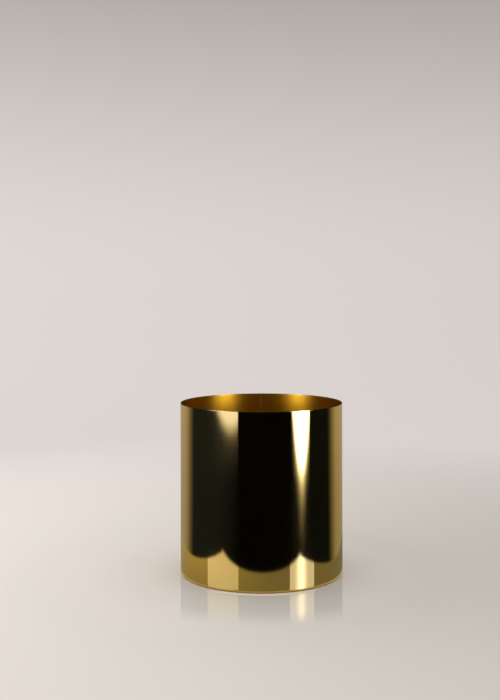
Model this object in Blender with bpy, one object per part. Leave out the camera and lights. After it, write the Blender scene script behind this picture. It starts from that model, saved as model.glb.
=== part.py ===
"""Brass planter pot: a straight, open cylinder of rolled brass sheet with a soldered-in base.

Metres, +Z up. The origin is on the pot's axis, in the plane it stands on. The side seam is at +Y.
"""

import math

import bmesh
import bpy

# Driving dimensions
OUTER_DIAMETER = 0.180
TOTAL_HEIGHT = 0.1885  # from the surface it stands on to the top of the rim
SHEET = 0.0012  # thickness of the brass sheet, in the side wall and in the base

# Side wall
RIM_ROUNDING = 0.0004  # on both edges of the rim
FOOT_BEND = 0.0015  # outer radius where the side turns in under the base
FLANGE_WIDTH = 0.0035  # how far the foot reaches in, measured from the outside of the wall
STAND_OFF = 0.0008  # clearance under the foot, left by the pads

# Side seam
SEAM_WIDTH = 0.0006

# Base pan and the solder that holds it
PAN_BEND = 0.002  # outer radius where the pan's floor turns up into its skirt
SKIRT_HEIGHT = 0.008  # from the underside of the pan to the top of its skirt
FILLET_WIDTH = 0.001  # on top of the skirt
FILLET_HEIGHT = 0.002  # on the wall

# Foot pads
PAD_DIAMETER = 0.014
PAD_CIRCLE = 0.065  # distance of each pad's centre from the axis
PAD_COUNT = 4
PAD_ROUNDING = 0.0003

# Clearance and fineness of the solids
GAP = 0.0003
TURNS = 96  # flats round the pot
PAD_TURNS = 32
ARC_STEPS = 4
PAST = 0.01  # how far a cutter runs past what it cuts

# Derived heights and radii
OUTER_RADIUS = OUTER_DIAMETER / 2
INNER_RADIUS = OUTER_RADIUS - SHEET
FLANGE_TOP = STAND_OFF + SHEET
BASE_BOTTOM = FLANGE_TOP + GAP
BASE_TOP = BASE_BOTTOM + SHEET
PAN_RADIUS = INNER_RADIUS - GAP
SKIRT_TOP = BASE_BOTTOM + SKIRT_HEIGHT
PAD_THICKNESS = BASE_BOTTOM - GAP


def clear_scene():
    for obj in list(bpy.data.objects):
        bpy.data.objects.remove(obj, do_unlink=True)


def metal(name, color, roughness, metallic):
    """A Principled material with one colour, roughness and metallic value."""
    material = bpy.data.materials.new(name)
    material.use_nodes = True
    shader = material.node_tree.nodes["Principled BSDF"]
    shader.inputs["Base Color"].default_value = (*color, 1.0)
    shader.inputs["Roughness"].default_value = roughness
    shader.inputs["Metallic"].default_value = metallic
    return material


def add_object(name, mesh, material):
    obj = bpy.data.objects.new(name, mesh)
    bpy.context.scene.collection.objects.link(obj)
    if material:
        mesh.materials.append(material)
    return obj


def arc(center_r, center_z, radius, start, end):
    """Points of an arc in the profile's plane, from one angle to another in degrees."""
    angles = [start + (end - start) * step / ARC_STEPS for step in range(ARC_STEPS + 1)]
    return [
        (
            center_r + radius * math.cos(math.radians(angle)),
            center_z + radius * math.sin(math.radians(angle)),
        )
        for angle in angles
    ]


def turned(name, profile, material, closed=True):
    """A profile of (radius, height) points turned once round the axis. An open one starts and ends on the axis."""
    mesh = bpy.data.meshes.new(name)
    vertices = [(radius, 0.0, height) for radius, height in profile]
    edges = [(i, i + 1) for i in range(len(profile) - 1)]
    if closed:
        edges.append((len(profile) - 1, 0))
    mesh.from_pydata(vertices, edges, [])
    obj = add_object(name, mesh, material)
    screw = obj.modifiers.new("Turn", "SCREW")
    screw.steps = TURNS
    screw.render_steps = TURNS
    screw.use_merge_vertices = True
    screw.merge_threshold = 0.00001
    screw.use_smooth_shade = True
    return obj


def disc(name, radius, bottom, top, turns, rounding, material):
    """A round plate between two heights, with its edges slightly rounded."""
    shape = bmesh.new()
    bmesh.ops.create_cone(
        shape, cap_ends=True, segments=turns, radius1=radius, radius2=radius, depth=top - bottom
    )
    mesh = bpy.data.meshes.new(name)
    shape.to_mesh(mesh)
    shape.free()
    mesh.shade_smooth()
    mesh.set_sharp_from_angle(angle=math.radians(30))
    obj = add_object(name, mesh, material)
    obj.location.z = (bottom + top) / 2
    bevel = obj.modifiers.new("Edges", "BEVEL")
    bevel.width = rounding
    bevel.segments = 1
    bevel.limit_method = "ANGLE"
    bevel.angle_limit = math.radians(60)
    return obj


def seam_block(name, width):
    """A helper block that spans the seam at +Y over the whole height and the flange."""
    reach = 2 * FLANGE_WIDTH + PAST
    shape = bmesh.new()
    bmesh.ops.create_cube(shape, size=1.0)
    bmesh.ops.scale(shape, verts=shape.verts, vec=(width, reach, TOTAL_HEIGHT + 2 * PAST))
    bmesh.ops.translate(shape, verts=shape.verts, vec=(0.0, OUTER_RADIUS, TOTAL_HEIGHT / 2))
    mesh = bpy.data.meshes.new(name)
    shape.to_mesh(mesh)
    shape.free()
    obj = add_object(name, mesh, None)
    obj.hide_render = True
    obj.display_type = "WIRE"
    return obj


def boolean(obj, operation, helper):
    modifier = obj.modifiers.new(operation.title(), "BOOLEAN")
    modifier.operation = operation
    modifier.solver = "EXACT"
    modifier.object = helper


def wall_profile():
    """The sheet's section: rim, outside, bend, flange and inside, in one closed loop."""
    bend_center = (OUTER_RADIUS - FOOT_BEND, STAND_OFF + FOOT_BEND)
    flange_end = OUTER_RADIUS - FLANGE_WIDTH
    rim_center_z = TOTAL_HEIGHT - RIM_ROUNDING
    points = arc(OUTER_RADIUS - RIM_ROUNDING, rim_center_z, RIM_ROUNDING, 90, 0)
    points += arc(*bend_center, FOOT_BEND, 0, -90)
    points += [(flange_end, STAND_OFF), (flange_end, FLANGE_TOP)]
    points += arc(*bend_center, FOOT_BEND - SHEET, -90, 0)
    points += arc(INNER_RADIUS + RIM_ROUNDING, rim_center_z, RIM_ROUNDING, 180, 90)
    return points


def pan_profile():
    """The pan's section from the axis: floor, inner bend, skirt, outer bend and underside."""
    bend_center = (PAN_RADIUS - PAN_BEND, BASE_BOTTOM + PAN_BEND)
    points = [(0.0, BASE_TOP)]
    points += arc(*bend_center, PAN_BEND - SHEET, -90, 0)
    points += [(PAN_RADIUS - SHEET, SKIRT_TOP), (PAN_RADIUS, SKIRT_TOP)]
    points += arc(*bend_center, PAN_BEND, 0, -90)
    points += [(0.0, BASE_BOTTOM)]
    return points


def fillet_profile():
    """The solder's section: it stands on the skirt, climbs the wall and has a hollow face."""
    bottom = SKIRT_TOP + GAP
    face = [
        (PAN_RADIUS - FILLET_WIDTH * (1 - across), bottom + FILLET_HEIGHT * (1 + up))
        for across, up in arc(0.0, 0.0, 1.0, -90, 0)
    ]
    return [(PAN_RADIUS, bottom), *face]


def build_side_wall(brass):
    wall = turned("side_wall", wall_profile(), brass)
    boolean(wall, "DIFFERENCE", seam_block("seam_slot", SEAM_WIDTH + 2 * GAP))


def build_side_seam(braze):
    seam = turned("side_seam", wall_profile(), braze)
    boolean(seam, "INTERSECT", seam_block("seam_body", SEAM_WIDTH))


def build_base_pan(brass):
    turned("base_pan", pan_profile(), brass, closed=False)


def build_base_solder_fillet(solder):
    turned("base_solder_fillet", fillet_profile(), solder)


def build_foot_pads(rubber):
    for index in range(PAD_COUNT):
        angle = 2 * math.pi * (index + 0.5) / PAD_COUNT
        pad = disc(
            f"foot_pad_{index + 1}", PAD_DIAMETER / 2, 0.0, PAD_THICKNESS, PAD_TURNS,
            PAD_ROUNDING, rubber,
        )
        pad.location.x = PAD_CIRCLE * math.cos(angle)
        pad.location.y = PAD_CIRCLE * math.sin(angle)


def main():
    clear_scene()
    polished = metal("polished_brass", (0.87, 0.66, 0.28), 0.08, 1.0)
    satin = metal("satin_brass", (0.84, 0.60, 0.25), 0.35, 1.0)
    braze = metal("brazing_alloy", (0.86, 0.72, 0.42), 0.15, 1.0)
    solder = metal("tin_solder", (0.60, 0.59, 0.56), 0.45, 1.0)
    rubber = metal("black_rubber", (0.02, 0.02, 0.02), 0.75, 0.0)
    build_side_wall(polished)
    build_side_seam(braze)
    build_base_pan(satin)
    build_base_solder_fillet(solder)
    build_foot_pads(rubber)


main()
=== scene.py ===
"""The looks of the brass planter pot: its finished pieces, their materials and a plain studio.

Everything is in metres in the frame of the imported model: the pot's axis is Z, it stands on z = 0,
its side seam is at +Y and the camera is at -Y. An azimuth is in degrees round Z, from -Y towards +X.
"""

import math

import bpy
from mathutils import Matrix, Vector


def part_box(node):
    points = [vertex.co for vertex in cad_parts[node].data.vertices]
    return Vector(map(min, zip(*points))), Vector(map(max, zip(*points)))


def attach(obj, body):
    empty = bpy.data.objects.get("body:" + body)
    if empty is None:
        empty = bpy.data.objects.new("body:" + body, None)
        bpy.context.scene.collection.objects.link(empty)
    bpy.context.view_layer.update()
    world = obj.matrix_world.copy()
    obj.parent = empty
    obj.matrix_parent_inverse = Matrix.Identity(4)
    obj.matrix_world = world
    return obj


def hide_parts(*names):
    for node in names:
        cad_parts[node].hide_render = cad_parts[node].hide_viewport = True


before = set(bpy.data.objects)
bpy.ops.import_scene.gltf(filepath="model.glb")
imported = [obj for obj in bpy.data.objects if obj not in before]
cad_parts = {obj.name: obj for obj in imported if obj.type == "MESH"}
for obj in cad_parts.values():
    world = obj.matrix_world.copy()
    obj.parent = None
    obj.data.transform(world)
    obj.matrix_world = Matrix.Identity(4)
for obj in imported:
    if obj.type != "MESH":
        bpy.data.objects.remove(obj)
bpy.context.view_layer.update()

# ---------------------------------------------------------------- sizes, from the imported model
wall_low, wall_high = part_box("side_wall")
_, seam_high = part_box("side_seam")
pan_low, pan_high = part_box("base_pan")
solder_low, solder_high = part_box("base_solder_fillet")

RADIUS = wall_high.x
RIM = wall_high.z
FOOT = wall_low.z
SHEET = 0.0012
PAN_RADIUS = pan_high.x

RIM_ROUNDING = 0.0004
RIM_GUARD = 0.0003  # the wall stays true up to here below the rim's rounding
FOOT_BEND = 0.0015
FLANGE_WIDTH = 0.0035
SEAM_HALF_ANGLE = math.asin(seam_high.x / RADIUS)

ROUND_STEPS = 480  # columns round the pot
WALL_STEPS = 60  # rows up the wall
ARC_STEPS = 8  # flats in each bend of a profile

CLEAR = 0.00002  # how far a visual piece stays off its neighbour
BLACK = (0.0, 0.0, 0.0)
WHITE = (1.0, 1.0, 1.0)


# ---------------------------------------------------------------- node helpers
class Nodes:
    """Adds nodes to one tree. A value may be a number, a colour or another node's output."""

    def __init__(self, tree):
        self.tree = tree
        tree.nodes.clear()

    def put(self, socket, value):
        if isinstance(value, bpy.types.NodeSocket):
            self.tree.links.new(value, socket)
        elif isinstance(value, tuple) and socket.type == "RGBA":
            socket.default_value = (*value, 1.0)
        else:
            socket.default_value = value

    def add(self, kind, settings=None, **inputs):
        node = self.tree.nodes.new(kind)
        for name, value in (settings or {}).items():
            setattr(node, name, value)
        for name, value in inputs.items():
            self.put(node.inputs[name.replace("_", " ")], value)
        return node

    def math(self, operation, first, second=0.0):
        node = self.tree.nodes.new("ShaderNodeMath")
        node.operation = operation
        self.put(node.inputs[0], first)
        self.put(node.inputs[1], second)
        return node.outputs[0]

    def mix(self, factor, first, second):
        node = self.tree.nodes.new("ShaderNodeMix")
        node.data_type = "RGBA"
        node.clamp_factor = False
        self.put(node.inputs[0], factor)
        self.put(node.inputs[6], first)
        self.put(node.inputs[7], second)
        return node.outputs[2]

    def scaled(self, vector, scale):
        node = self.add("ShaderNodeVectorMath", {"operation": "MULTIPLY"})
        self.put(node.inputs[0], vector)
        node.inputs[1].default_value = scale
        return node.outputs[0]

    def noise(self, vector, scale, detail=2.0, roughness=0.5):
        node = self.add(
            "ShaderNodeTexNoise", Vector=vector, Scale=scale, Detail=detail, Roughness=roughness,
        )
        return node.outputs[0]

    def between(self, value, low, high, to_low=0.0, to_high=1.0, smooth=False):
        """The value's place between low and high, clamped, and spread over to_low..to_high."""
        kind = {"interpolation_type": "SMOOTHSTEP" if smooth else "LINEAR"}
        node = self.add("ShaderNodeMapRange", kind)
        for socket, number in zip(node.inputs[:5], (value, low, high, to_low, to_high)):
            self.put(socket, number)
        return node.outputs[0]

    def place(self):
        """The position on the piece: its object coordinates, which are the frame's."""
        return self.add("ShaderNodeTexCoord").outputs["Object"]


def new_material(name):
    material = bpy.data.materials.new(name)
    material.use_nodes = True
    return material, Nodes(material.node_tree)


def finish_surface(nodes, shader):
    nodes.add("ShaderNodeOutputMaterial", Surface=shader)


# ---------------------------------------------------------------- materials of the pot
def metal_shader(nodes, color, roughness, normal, lined=0.0, edge_tint=WHITE):
    """lined is how far the finish is drawn out by lines that run round the pot, 0 to 1.

    edge_tint dulls what the surface mirrors at a glancing angle.
    """
    shader = nodes.add(
        "ShaderNodeBsdfPrincipled", Base_Color=color, Metallic=1.0, Roughness=roughness, Normal=normal,
    )
    shader.inputs["Anisotropic"].default_value = lined
    shader.inputs["Anisotropic Rotation"].default_value = 0.25
    shader.inputs["Specular Tint"].default_value = (*edge_tint, 1.0)
    finish_surface(nodes, shader.outputs[0])


def polished_brass():
    """Mirror-polished sheet: fine lines run round the pot, left by the buffing wheel."""
    material, nodes = new_material("polished_brass")
    place = nodes.place()
    lines = nodes.noise(nodes.scaled(place, (8.0, 8.0, 900.0)), 1.0, 2.0)
    clouds = nodes.noise(place, 14.0, 3.0)
    swell = nodes.noise(nodes.scaled(place, (26.0, 26.0, 9.0)), 1.0, 1.0)
    color = nodes.mix(nodes.between(clouds, 0.35, 0.65), (0.83, 0.56, 0.155), (0.87, 0.60, 0.18))
    haze = nodes.between(lines, 0.3, 0.7, 0.032, 0.040)
    roughness = nodes.math("ADD", haze, nodes.between(clouds, 0.4, 0.7, 0.0, 0.006))
    buffed = nodes.add("ShaderNodeBump", Strength=1.0, Distance=0.000002, Height=lines)
    waved = nodes.add(
        "ShaderNodeBump", Strength=1.0, Distance=0.00006, Height=swell, Normal=buffed.outputs[0],
    )
    metal_shader(nodes, color, roughness, waved.outputs[0], lined=1.0)
    return material


def satin_brass(name="satin_brass", dullness=0.0):
    """The unpolished side of the sheet: the mill's satin, drawn out in lines that run round the pot."""
    material, nodes = new_material(name)
    place = nodes.place()
    lines = nodes.noise(nodes.scaled(place, (30.0, 30.0, 1400.0)), 1.0, 3.0, 0.6)
    clouds = nodes.noise(place, 30.0, 4.0)
    color = nodes.mix(nodes.between(clouds, 0.3, 0.7), (0.81, 0.37, 0.012), (0.85, 0.40, 0.016))
    streaks = nodes.between(lines, 0.3, 0.7, dullness + 0.36, dullness + 0.40)
    roughness = nodes.math("ADD", streaks, nodes.between(clouds, 0.3, 0.7, 0.0, 0.02))
    bump = nodes.add("ShaderNodeBump", Strength=1.0, Distance=0.000006, Height=lines)
    metal_shader(nodes, color, roughness, bump.outputs[0], lined=0.64, edge_tint=(0.35, 0.30, 0.25))
    return material


def braze_metal(name, low_roughness, high_roughness, pale, deep, lined):
    """The brazed seam: finished with the sheet beside it, but a little paler, with a faint mottle."""
    material, nodes = new_material(name)
    place = nodes.place()
    mottle = nodes.noise(nodes.scaled(place, (900.0, 900.0, 260.0)), 1.0, 3.0)
    color = nodes.mix(nodes.between(mottle, 0.3, 0.7), deep, pale)
    roughness = nodes.between(mottle, 0.3, 0.7, low_roughness, high_roughness)
    bump = nodes.add("ShaderNodeBump", Strength=1.0, Distance=0.00001, Height=mottle)
    metal_shader(nodes, color, roughness, bump.outputs[0], lined)
    return material


def solder_metal():
    """Wiped tin solder: grey, dull and slightly grainy."""
    material, nodes = new_material("tin_solder")
    place = nodes.place()
    grain = nodes.noise(place, 900.0, 4.0)
    color = nodes.mix(nodes.between(grain, 0.3, 0.7), (0.33, 0.32, 0.30), (0.52, 0.51, 0.48))
    roughness = nodes.between(grain, 0.3, 0.7, 0.38, 0.55)
    bump = nodes.add("ShaderNodeBump", Strength=1.0, Distance=0.00008, Height=grain)
    metal_shader(nodes, color, roughness, bump.outputs[0])
    return material


def black_rubber():
    """Moulded rubber pad with a fine matt grain."""
    material, nodes = new_material("black_rubber")
    place = nodes.place()
    grain = nodes.noise(place, 2600.0, 3.0)
    color = nodes.mix(grain, (0.010, 0.010, 0.011), (0.022, 0.022, 0.023))
    roughness = nodes.between(grain, 0.3, 0.7, 0.68, 0.85)
    bump = nodes.add("ShaderNodeBump", Strength=1.0, Distance=0.00006, Height=grain)
    shader = nodes.add("ShaderNodeBsdfPrincipled", Base_Color=color, Roughness=roughness)
    nodes.put(shader.inputs["Normal"], bump.outputs[0])
    finish_surface(nodes, shader.outputs[0])
    return material


# ---------------------------------------------------------------- turned pieces
def arc(center_r, center_z, radius, start, end):
    """Points of an arc in the (radius, height) plane, from one angle to another in degrees."""
    angles = [math.radians(start + (end - start) * i / ARC_STEPS) for i in range(ARC_STEPS + 1)]
    return [(center_r + radius * math.cos(a), center_z + radius * math.sin(a)) for a in angles]


def stretch(start, end, steps):
    """Points strictly between two profile points."""
    return [
        tuple(s + (e - s) * i / steps for s, e in zip(start, end))
        for i in range(1, steps)
    ]


def revolve(name, profile, slots, materials, columns=ROUND_STEPS, first=0.0, last=2 * math.pi, closed=True):
    """A solid turned round Z from a (radius, height) profile, between two angles measured from +X.

    slots[i] is the material of the band that follows profile point i. Where the angles don't make a
    whole turn, both ends are capped. An open profile starts and ends on the axis.
    """
    whole = abs(last - first - 2 * math.pi) < 1e-9
    rows = columns if whole else columns + 1
    vertices, faces, face_slots = [], [], []
    index = {}
    for row in range(rows):
        angle = first + (last - first) * row / columns
        for point, (radius, height) in enumerate(profile):
            if radius < 1e-9 and row > 0:
                index[row, point] = index[0, point]
                continue
            index[row, point] = len(vertices)
            vertices.append((radius * math.cos(angle), radius * math.sin(angle), height))
    bands = len(profile) if closed else len(profile) - 1
    for row in range(columns):
        following = (row + 1) % rows if whole else row + 1
        for point in range(bands):
            nearby = (point + 1) % len(profile)
            corners = [
                index[row, point], index[row, nearby], index[following, nearby], index[following, point],
            ]
            corners = list(dict.fromkeys(corners))
            faces.append(corners)
            face_slots.append(slots[point])
    if not whole:
        faces.append([index[0, point] for point in reversed(range(len(profile)))])
        faces.append([index[rows - 1, point] for point in range(len(profile))])
        face_slots += [0, 0]
    mesh = bpy.data.meshes.new(name)
    mesh.from_pydata(vertices, [], faces)
    for material in materials:
        mesh.materials.append(material)
    mesh.polygons.foreach_set("material_index", face_slots)
    mesh.shade_smooth()
    mesh.set_sharp_from_angle(angle=math.radians(40))
    mesh.update()
    obj = bpy.data.objects.new(name, mesh)
    bpy.context.scene.collection.objects.link(obj)
    return obj


def sheet_profile():
    """The side sheet's section, and the finish of each band: 0 polished, 1 satin."""
    inner = RADIUS - SHEET
    bend = (RADIUS - FOOT_BEND, FOOT + FOOT_BEND)
    flange_end = RADIUS - FLANGE_WIDTH
    rim_z = RIM - RIM_ROUNDING
    points = arc(RADIUS - RIM_ROUNDING, rim_z, RIM_ROUNDING, 90, 0)
    points.append((RADIUS, rim_z - RIM_GUARD))
    points += stretch((RADIUS, rim_z - RIM_GUARD), (RADIUS, bend[1]), WALL_STEPS)
    points += arc(*bend, FOOT_BEND, 0, -90)
    outside = len(points)
    points += [(flange_end, FOOT), (flange_end, FOOT + SHEET)]
    points += arc(*bend, FOOT_BEND - SHEET, -90, 0)
    points += stretch((inner, bend[1]), (inner, rim_z), WALL_STEPS)
    rim_inside = len(points)
    points += arc(inner + RIM_ROUNDING, rim_z, RIM_ROUNDING, 180, 90)
    slots = [0] * (outside - 1) + [1] * (rim_inside - outside + 1) + [0] * (len(points) - rim_inside)
    return points, slots


def add_piece(obj, node):
    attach(obj, "root")
    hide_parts(node)


def build_side_wall(polished, satin):
    """The rolled sheet, from one edge of the seam round to the other."""
    profile, slots = sheet_profile()
    start = math.pi / 2 + SEAM_HALF_ANGLE
    wall = revolve(
        "side_wall_sheet", profile, slots, [polished, satin],
        first=start, last=start + 2 * math.pi - 2 * SEAM_HALF_ANGLE,
    )
    add_piece(wall, "side_wall")


def build_side_seam():
    """The braze that fills the joint, filed flush with the sheet."""
    profile, slots = sheet_profile()
    polished = braze_metal("brazing_alloy", 0.07, 0.13, (0.86, 0.66, 0.30), (0.76, 0.56, 0.22), 0.8)
    satin = braze_metal("satin_brazing_alloy", 0.37, 0.43, (0.84, 0.42, 0.025), (0.76, 0.36, 0.018), 0.64)
    half = SEAM_HALF_ANGLE - CLEAR / RADIUS
    back = math.pi / 2
    seam = revolve(
        "side_seam_braze", profile, slots, [polished, satin], columns=4,
        first=back - half, last=back + half,
    )
    add_piece(seam, "side_seam")


def build_base_pan(satin):
    """The soldered-in pan: a flat floor, a bend and an upturned skirt."""
    bend_radius = 0.002
    bend = (PAN_RADIUS - bend_radius, pan_low.z + bend_radius)
    floor = pan_low.z + SHEET
    inner = PAN_RADIUS - SHEET
    points = [(0.0, floor)]
    points += stretch((0.0, floor), (bend[0], floor), 12)
    points += arc(*bend, bend_radius - SHEET, -90, 0)
    points += [(inner, pan_high.z), (PAN_RADIUS, pan_high.z)]
    points += arc(*bend, bend_radius, 0, -90)
    points += [(0.0, pan_low.z)]
    pan = revolve("base_pan_sheet", points, [0] * len(points), [satin], columns=240, closed=False)
    add_piece(pan, "base_pan")


def build_base_solder(solder):
    """The solder on the pan's skirt. Its face is hollow, and its width wanders as it was wiped."""
    width, height = 0.0013, solder_high.z - solder_low.z
    narrowing = 0.0002
    outer = RADIUS - SHEET - CLEAR / 2
    bottom = pan_high.z + CLEAR / 2
    quarter = arc(0.0, 0.0, 1.0, -90, 0)
    points = [(outer, bottom)]
    points += [(outer - width * (1 - across), bottom + height * (1 + up)) for across, up in quarter]
    bead = revolve("base_solder_bead", points, [0] * len(points), [solder], columns=360)
    for vertex in bead.data.vertices:
        radius = math.hypot(vertex.co.x, vertex.co.y)
        angle = math.atan2(vertex.co.y, vertex.co.x)
        depth = max(0.0, (outer - radius) / width)
        wander = 0.5 * math.sin(7 * angle + 1.1) + 0.3 * math.sin(19 * angle)
        wander += 0.2 * math.sin(41 * angle + 2.0)
        outward = 1 + narrowing * depth * (1 + wander) / radius
        vertex.co.x *= outward
        vertex.co.y *= outward
    add_piece(bead, "base_solder_fillet")


def build_foot_pads(rubber):
    """Four moulded pads with rounded edges."""
    rounding = 0.0004
    top = pan_low.z - CLEAR
    for number in range(1, 5):
        low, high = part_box(f"foot_pad_{number}")
        radius = (high.x - low.x) / 2
        points = [(0.0, top)]
        points += arc(radius - rounding, top - rounding, rounding, 90, 0)
        points += arc(radius - rounding, low.z + rounding, rounding, 0, -90)
        points += [(0.0, low.z)]
        slots = [0] * len(points)
        pad = revolve(f"foot_pad_rubber_{number}", points, slots, [rubber], columns=72, closed=False)
        pad.location = ((low.x + high.x) / 2, (low.y + high.y) / 2, 0.0)
        add_piece(pad, f"foot_pad_{number}")


# ---------------------------------------------------------------- studio
def only_seen_by(obj, *rays):
    """Shows a stage object to these kinds of ray and to no others."""
    for ray in ("camera", "diffuse", "glossy", "transmission", "volume_scatter", "shadow"):
        setattr(obj, f"visible_{ray}", ray in rays)


def add_stage(name, vertices, material):
    """A flat stage object with one face."""
    mesh = bpy.data.meshes.new(name)
    mesh.from_pydata(vertices, [], [tuple(range(len(vertices)))])
    mesh.materials.append(material)
    obj = bpy.data.objects.new(name, mesh)
    bpy.context.scene.collection.objects.link(obj)
    return obj


def from_axis(nodes, x, y):
    """The distance from the pot's axis."""
    squares = nodes.math("ADD", nodes.math("MULTIPLY", x, x), nodes.math("MULTIPLY", y, y))
    return nodes.math("SQRT", squares)


def blend(nodes, factor, first, second):
    """Two shaders, mixed by a number or another node's output."""
    mixed = nodes.add("ShaderNodeMixShader")
    nodes.put(mixed.inputs[0], factor)
    nodes.put(mixed.inputs[1], first.outputs[0])
    nodes.put(mixed.inputs[2], second.outputs[0])
    return mixed


SWEEP_FLOOR, SWEEP_BEND, SWEEP_TOP = 2.2, 1.2, 4.0
FLOOR_MIRROR = 0.175
MIRROR_FADE = (0.145, 0.20)  # distances from the axis
NEAR_FLOOR = (0.70, 0.65, 0.59)
BACKDROP = (0.745, 0.684, 0.656)
# painted glint: the colour of the line of light painted at the foot's front
FOOT_GLOW = (1.0, 0.92, 0.78)


def foot_glint(nodes, distance, y):
    """Where a thin golden glint is painted on what the pot stands on, as light thrown by the front of the
    foot, 0 to 1.
    """
    rise = nodes.between(distance, RADIUS - 0.002, RADIUS, smooth=True)
    fall = nodes.between(distance, RADIUS + 0.0045, RADIUS + 0.0080, 1.0, 0.0, smooth=True)
    front = nodes.between(y, -0.92 * RADIUS, -0.80 * RADIUS, 1.0, 0.0, smooth=True)
    return nodes.math("MULTIPLY", nodes.math("MULTIPLY", rise, fall), front)


def build_sweep():
    """The pale floor, which curves up all round into the backdrop. Light and shade are painted into its
    tone: painted shade up the backdrop, painted light towards the left, round the pot and beside its left
    side, and a painted glint line at the foot's front. Only the camera sees it.
    """
    profile = [(SWEEP_FLOOR * i / 12, 0.0) for i in range(12)]
    profile += [
        (SWEEP_FLOOR + SWEEP_BEND * math.sin(math.radians(a)), SWEEP_BEND * (1 - math.cos(math.radians(a))))
        for a in range(0, 91, 5)
    ]
    profile += [(SWEEP_FLOOR + SWEEP_BEND, SWEEP_TOP)]
    material, nodes = new_material("pale_sweep")
    place = nodes.place()
    x, y, z = nodes.add("ShaderNodeSeparateXYZ", Vector=place).outputs
    distance = from_axis(nodes, x, y)
    # painted shade: the backdrop darkens upwards
    painted_shade_upward = nodes.between(z, 0.3, 2.2, 1.0, 0.45, smooth=True)
    # painted light: lighter towards the left, darker towards the right, most of all near the pot
    lean = nodes.between(distance, 0.2, 1.0, 0.75, 0.05)
    painted_side_light = nodes.math("SUBTRACT", 1.0, nodes.math("MULTIPLY", x, lean))
    # painted light: a slightly brighter pool round the pot
    painted_light_pool = nodes.between(distance, 0.25, 1.2, 1.0, 0.955, smooth=True)
    # painted light: lighter still beside the pot's left side
    painted_light_left_of_pot = nodes.between(distance, 0.12, 0.25, nodes.between(x, -RADIUS, 0.0, 1.09, 1.0), 1.0)
    painted_side_light = nodes.math("MULTIPLY", painted_side_light, painted_light_left_of_pot)
    level = nodes.math("MULTIPLY", nodes.math("MULTIPLY", painted_shade_upward, painted_side_light), painted_light_pool)
    tint = nodes.mix(nodes.between(distance, 0.2, 1.0, smooth=True), NEAR_FLOOR, BACKDROP)
    # painted glint: the golden line of light at the foot's front
    tint = nodes.mix(foot_glint(nodes, distance, y), tint, FOOT_GLOW)
    diffuse = nodes.add("ShaderNodeBsdfDiffuse", Color=nodes.mix(level, BLACK, tint))
    gloss = nodes.add("ShaderNodeBsdfGlossy", Color=WHITE, Roughness=0.0)
    share = nodes.between(distance, *MIRROR_FADE, FLOOR_MIRROR, 0.0, smooth=True)
    finish_surface(nodes, blend(nodes, share, diffuse, gloss).outputs[0])
    sweep = revolve("studio_sweep", profile, [0] * len(profile), [material], columns=128, closed=False)
    only_seen_by(sweep, "camera")


PLINTH_SIDE = 0.345
PLINTH_EDGE = 0.008  # half the width of its soft edge
PLINTH_CENTER = (-0.0125, 0.0)
PLINTH_TURN = 0.0175  # radians
PLINTH_MIRROR = 0.45
# Painted light and shade on the plinth top: its lit left and its shaded right
PLINTH_PAINTED_LIGHT_LEFT = (0.68, 0.61, 0.34)
PLINTH_PAINTED_SHADE_RIGHT = (0.31, 0.30, 0.21)
# painted glint: a ring of light on the plinth round the foot
FOOT_SHINE = (0.82, 0.76, 0.51)
# painted shadow under the foot
FOOT_SHADOW = (0.22, 0.20, 0.13)


def build_plinth_reflection():
    """The glossy white top that the pot's foot mirrors. Its glow is painted light and shade: lit on the
    left, shaded on the right, with a painted ring of light round the foot and a painted shadow under it.
    Only reflections see it.
    """
    half = PLINTH_SIDE / 2
    reach = half + PLINTH_EDGE
    cos, sin = math.cos(PLINTH_TURN), math.sin(PLINTH_TURN)
    corners = [(-reach, -reach), (reach, -reach), (reach, reach), (-reach, reach)]
    vertices = [
        (PLINTH_CENTER[0] + x * cos - y * sin, PLINTH_CENTER[1] + x * sin + y * cos, -0.0002)
        for x, y in corners
    ]
    material, nodes = new_material("plinth_top")
    x, y, _ = nodes.add("ShaderNodeSeparateXYZ", Vector=nodes.place()).outputs
    # painted light and shade: lighter on the left, darker on the right
    color = nodes.mix(nodes.between(x, -0.17, 0.02), PLINTH_PAINTED_LIGHT_LEFT, PLINTH_PAINTED_SHADE_RIGHT)
    distance = from_axis(nodes, x, y)
    # painted glint: a ring of light just outside the foot
    painted_glint_ring = nodes.between(distance, RADIUS + 0.004, RADIUS + 0.008, 1.0, 0.0, smooth=True)
    color = nodes.mix(painted_glint_ring, color, FOOT_SHINE)
    # painted shadow under the foot's edge
    painted_shadow_under_foot = nodes.between(distance, RADIUS - 0.001, RADIUS + 0.0005, 1.0, 0.0, smooth=True)
    color = nodes.mix(painted_shadow_under_foot, color, FOOT_SHADOW)
    # the top glows with this painted light, though it is no lamp
    glow = nodes.add("ShaderNodeEmission", Color=color, Strength=1.0)
    gloss = nodes.add("ShaderNodeBsdfGlossy", Color=WHITE, Roughness=0.03)
    top_surface = blend(nodes, PLINTH_MIRROR, glow, gloss)
    across = nodes.math("ADD", nodes.math("MULTIPLY", x, cos), nodes.math("MULTIPLY", y, sin))
    along = nodes.math("SUBTRACT", nodes.math("MULTIPLY", y, cos), nodes.math("MULTIPLY", x, sin))
    across = nodes.math("ABSOLUTE", nodes.math("SUBTRACT", across, PLINTH_CENTER[0]))
    along = nodes.math("ABSOLUTE", nodes.math("SUBTRACT", along, PLINTH_CENTER[1]))
    outward = nodes.math("MAXIMUM", across, along)
    inside = nodes.between(outward, half - PLINTH_EDGE, half + PLINTH_EDGE, 1.0, 0.0, smooth=True)
    clear = nodes.add("ShaderNodeBsdfTransparent", Color=WHITE)
    finish_surface(nodes, blend(nodes, inside, clear, top_surface).outputs[0])
    top = add_stage("plinth_reflection", vertices, material)
    only_seen_by(top, "glossy")


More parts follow.
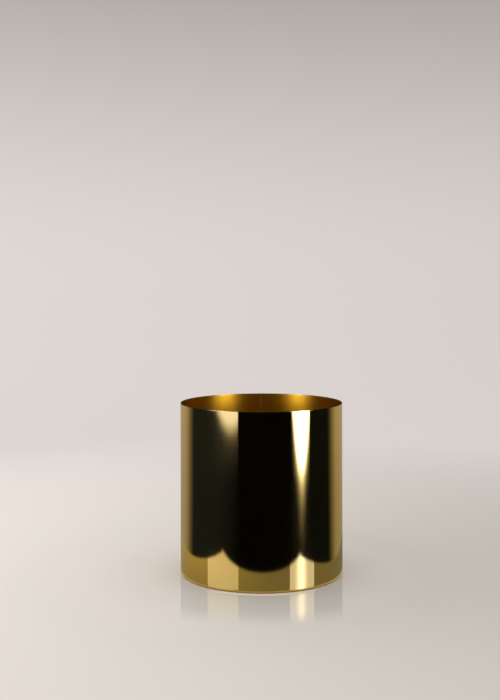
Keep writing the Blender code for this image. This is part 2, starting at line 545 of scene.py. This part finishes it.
LIGHT_COLOR = (1.0, 1.12, 1.92)
LIGHT_EDGE_COLOR = (1.0, 1.0, 0.72)
LIGHT_DISTANCE = 1.8
KEY_AZIMUTH = 55.1
FILL_AZIMUTH = -56.0


def add_card(name, azimuth, outline, strength):
    """A softbox, seen in reflections only, but not by the sharp mirror of the floor.

    outline is (across, height) points on the card; strength builds its brightness from such a place.
    """
    vertices = [(across, -LIGHT_DISTANCE, height) for across, height in outline]
    material, nodes = new_material(name)
    across, _, height = nodes.add("ShaderNodeSeparateXYZ", Vector=nodes.place()).outputs
    sharp = nodes.add("ShaderNodeLightPath").outputs["Is Singular Ray"]
    level = nodes.math("MULTIPLY", strength(nodes, across, height), nodes.math("SUBTRACT", 1.0, sharp))
    color = nodes.mix(nodes.between(level, 0.3, 1.2), LIGHT_EDGE_COLOR, LIGHT_COLOR)
    glow = nodes.add("ShaderNodeEmission", Color=color, Strength=level)
    clear = nodes.add("ShaderNodeBsdfTransparent", Color=WHITE)
    both = nodes.tree.nodes.new("ShaderNodeAddShader")
    nodes.put(both.inputs[0], glow.outputs[0])
    nodes.put(both.inputs[1], clear.outputs[0])
    finish_surface(nodes, both.outputs[0])
    card = add_stage(name, vertices, material)
    card.rotation_euler.z = math.radians(azimuth)
    only_seen_by(card, "glossy")


# The stripe across each box that lights the inside of the pot: its centre, its width and its level
KEY_STRIPE = (0.035, 0.37, 10.4)
FILL_STRIPE = (-0.075, 0.295, 11.6)
STRIPE_STARTS = (0.22, 0.28)  # heights on a box, here and in the next three
STRIPE_ENDS = (0.42, 0.60)
GAP_ENDS = (0.34, 0.40)
FACE_ENDS = (0.62, 0.70)
GAP_DEPTH = 0.9
LATER_LEVEL = 0.5  # of the face, to rays that have bounced more than once
FIRST_BOUNCE = 1.5  # such a ray's depth is above this


def bell(nodes, across, center, width):
    offset = nodes.math("DIVIDE", nodes.math("SUBTRACT", across, center), width)
    return nodes.math("EXPONENT", nodes.math("MULTIPLY", nodes.math("MULTIPLY", offset, offset), -0.5))


def with_stripe(nodes, face, across, height, stripe):
    """A box's brightness: its face low down, and a hot stripe above the rim's height.

    Rays that have bounced more than once see no stripe. They see a dimmer face, with a dark gap in it.
    """
    center, width, level = stripe
    high = nodes.between(height, *STRIPE_STARTS, smooth=True)
    first = nodes.math("LESS_THAN", nodes.add("ShaderNodeLightPath").outputs["Ray Depth"], FIRST_BOUNCE)
    hot = nodes.math("MULTIPLY", nodes.between(height, *STRIPE_ENDS, level, 0.0, smooth=True), high)
    hot = nodes.math("MULTIPLY", hot, bell(nodes, across, center, width))
    direct = nodes.math("ADD", hot, nodes.math("MULTIPLY", face, nodes.math("SUBTRACT", 1.0, high)))
    gap = nodes.math("MULTIPLY", high, nodes.between(height, *GAP_ENDS, GAP_DEPTH, 0.0))
    dimmer = nodes.between(height, *FACE_ENDS, LATER_LEVEL, 0.0)
    later = nodes.math("MULTIPLY", face, nodes.math("MULTIPLY", nodes.math("SUBTRACT", 1.0, gap), dimmer))
    direct = nodes.math("MULTIPLY", direct, first)
    later = nodes.math("MULTIPLY", later, nodes.math("SUBTRACT", 1.0, first))
    return nodes.math("ADD", direct, later)


def key_strength(nodes, across, height):
    """A hot lamp behind the cloth: brightest in the middle, with a tapering tail under the box."""
    from_tip = nodes.math("SUBTRACT", height, -0.199)
    above_tip = nodes.math("MULTIPLY", from_tip, 36.0)
    below_tip = nodes.math("MULTIPLY", from_tip, 26.0)
    tail = nodes.math("MAXIMUM", above_tip, below_tip)
    width = nodes.between(height, -0.25, -0.18, 0.092, 0.130)
    lean = nodes.between(height, -0.25, -0.18, 0.045, 0.026)
    tail = nodes.math("MULTIPLY", nodes.math("EXPONENT", tail), bell(nodes, across, lean, width))
    lamp = nodes.between(height, 0.62, 0.80, 6.0, 0.5)
    core = nodes.math("MULTIPLY", bell(nodes, across, 0.0, 0.138), lamp)
    face = nodes.math("ADD", core, nodes.between(height, 0.62, 0.80, 2.4, 0.8))
    face = with_stripe(nodes, face, across, height, KEY_STRIPE)
    return nodes.math("MINIMUM", tail, face)


def build_key():
    outline = [
        (-0.30, -0.60), (0.442, -0.60), (0.442, 0.05), (0.69, 0.40), (0.69, 1.2),
        (-0.55, 1.2), (-0.55, 0.30), (-0.468, -0.04), (-0.36, -0.16),
    ]
    add_card("key_softbox", KEY_AZIMUTH, outline, key_strength)


def fill_strength(nodes, across, height):
    """An even cloth that brightens upwards; its lower edge rises towards its outer corner."""
    bend = nodes.math("MULTIPLY", nodes.math("MULTIPLY", across, across), 0.085)
    edge = nodes.math("ADD", nodes.math("MULTIPLY", across, -0.105), bend)
    above = nodes.math("ADD", nodes.math("SUBTRACT", height, edge), 0.0463)
    level = nodes.between(above, -0.024, 0.024, smooth=True)
    face = nodes.between(height, -0.05, 0.45, 1.17, 1.8)
    face = nodes.math("MULTIPLY", face, nodes.between(height, 0.62, 0.85, 1.0, 0.4))
    face = with_stripe(nodes, face, across, height, FILL_STRIPE)
    return nodes.math("MULTIPLY", level, face)


def build_fill():
    outline = [(-0.80, -0.20), (0.792, -0.20), (0.792, 1.4), (-0.80, 1.4)]
    add_card("fill_softbox", FILL_AZIMUTH, outline, fill_strength)


AMBIENT = WHITE  # on matt surfaces

# The room that the reflections show: dark, and open at the back to a pale backdrop. Azimuths in degrees
BACKDROP_LEFT = (0.42, 0.38, 0.32)
BACKDROP_RIGHT = (0.40, 0.37, 0.27)
LEFT_EDGE = (-138, -108)
RIGHT_EDGE = (104, 132)
ROOM_FRONT = (0.001, 0.001, 0.002)
ROOM_LEFT = (0.013, 0.018, 0.030)
ROOM_RIGHT = (0.005, 0.007, 0.011)

# The floor beyond the plinth: dim beside the pot, paler behind it, with a pool of light from each box
FLOOR_BEHIND = (0.50, 0.45, 0.38)
FLOOR_BESIDE = (0.03, 0.027, 0.022)
FILL_POOL = (0.34, 0.32, 0.30)
KEY_POOL = (1.2, 1.2, 1.4)
OVERHEAD = (0.02, 0.02, 0.02)
CEILING = (0.10, 0.10, 0.10)


def room_color(nodes, turn):
    """The room at the height of the pot; turn is the azimuth in degrees."""
    color = nodes.mix(nodes.between(turn, -80, -30, 1.0, 0.0), ROOM_FRONT, ROOM_LEFT)
    color = nodes.mix(nodes.between(turn, 30, 90), color, ROOM_RIGHT)
    color = nodes.mix(nodes.between(turn, *LEFT_EDGE, 1.0, 0.0, smooth=True), color, BACKDROP_LEFT)
    return nodes.mix(nodes.between(turn, *RIGHT_EDGE, smooth=True), color, BACKDROP_RIGHT)


def floor_color(nodes, turn):
    """The floor beyond the plinth; turn is the azimuth in degrees."""
    behind = nodes.between(nodes.math("ABSOLUTE", turn), 90, 150)
    color = nodes.mix(behind, FLOOR_BESIDE, FLOOR_BEHIND)
    color = nodes.mix(bell(nodes, turn, -57, 9), color, FILL_POOL)
    return nodes.mix(bell(nodes, turn, 56, 7), color, KEY_POOL)


def build_world():
    """Even light for matt surfaces, and for polished ones the room, the far floor and the ceiling.

    The floor's sharp mirror sees one even tone in place of them.
    """
    world = bpy.data.worlds.new("studio")
    world.use_nodes = True
    bpy.context.scene.world = world
    nodes = Nodes(world.node_tree)
    direction = nodes.add("ShaderNodeTexCoord").outputs["Generated"]
    x, y, z = nodes.add("ShaderNodeSeparateXYZ", Vector=direction).outputs
    azimuth = nodes.math("ARCTAN2", x, nodes.math("MULTIPLY", y, -1.0))
    spread = nodes.math("ADD", nodes.math("MULTIPLY", z, 0.136), 1.018)
    turn = nodes.math("MULTIPLY", nodes.math("MULTIPLY", azimuth, spread), 180 / math.pi)
    level = nodes.mix(nodes.between(z, -0.25, -0.12, 0.75, 1.0), BLACK, room_color(nodes, turn))
    below = nodes.between(z, -0.42, -0.30, 1.0, 0.0, smooth=True)
    above = nodes.between(z, -0.01, 0.07, 0.0, 1.0, smooth=True)
    room = nodes.mix(below, level, floor_color(nodes, turn))
    overhead = nodes.mix(nodes.between(z, 0.5, 0.85, smooth=True), OVERHEAD, CEILING)
    room = nodes.mix(above, room, overhead)
    path = nodes.add("ShaderNodeLightPath").outputs
    room = nodes.mix(path["Is Singular Ray"], room, NEAR_FLOOR)
    color = nodes.mix(path["Is Glossy Ray"], AMBIENT, room)
    nodes.add("ShaderNodeOutputWorld", Surface=nodes.add("ShaderNodeBackground", Color=color).outputs[0])


def build_camera():
    """A camera that looks straight ahead, with its picture shifted down to the pot."""
    data = bpy.data.cameras.new("camera")
    data.sensor_width = 36.0
    data.lens = 57.49
    data.shift_x = 0.0011
    data.shift_y = -0.1088
    data.clip_start = 0.05
    data.clip_end = 50.0
    camera = bpy.data.objects.new("camera", data)
    diameter = 2 * RADIUS
    roll = math.radians(0.12)
    camera.location = (-0.073 * diameter, -6.93 * diameter, 1.842 * diameter)
    camera.rotation_euler = (math.radians(90), roll, 0.0)
    bpy.context.scene.collection.objects.link(camera)
    bpy.context.scene.camera = camera


def main():
    bpy.context.scene.view_settings.view_transform = "Standard"
    polished = polished_brass()
    satin = satin_brass()
    build_side_wall(polished, satin)
    build_side_seam()
    build_base_pan(satin_brass("pan_brass", 0.08))
    build_base_solder(solder_metal())
    build_foot_pads(black_rubber())
    build_sweep()
    build_plinth_reflection()
    build_key()
    build_fill()
    build_world()
    build_camera()


main()
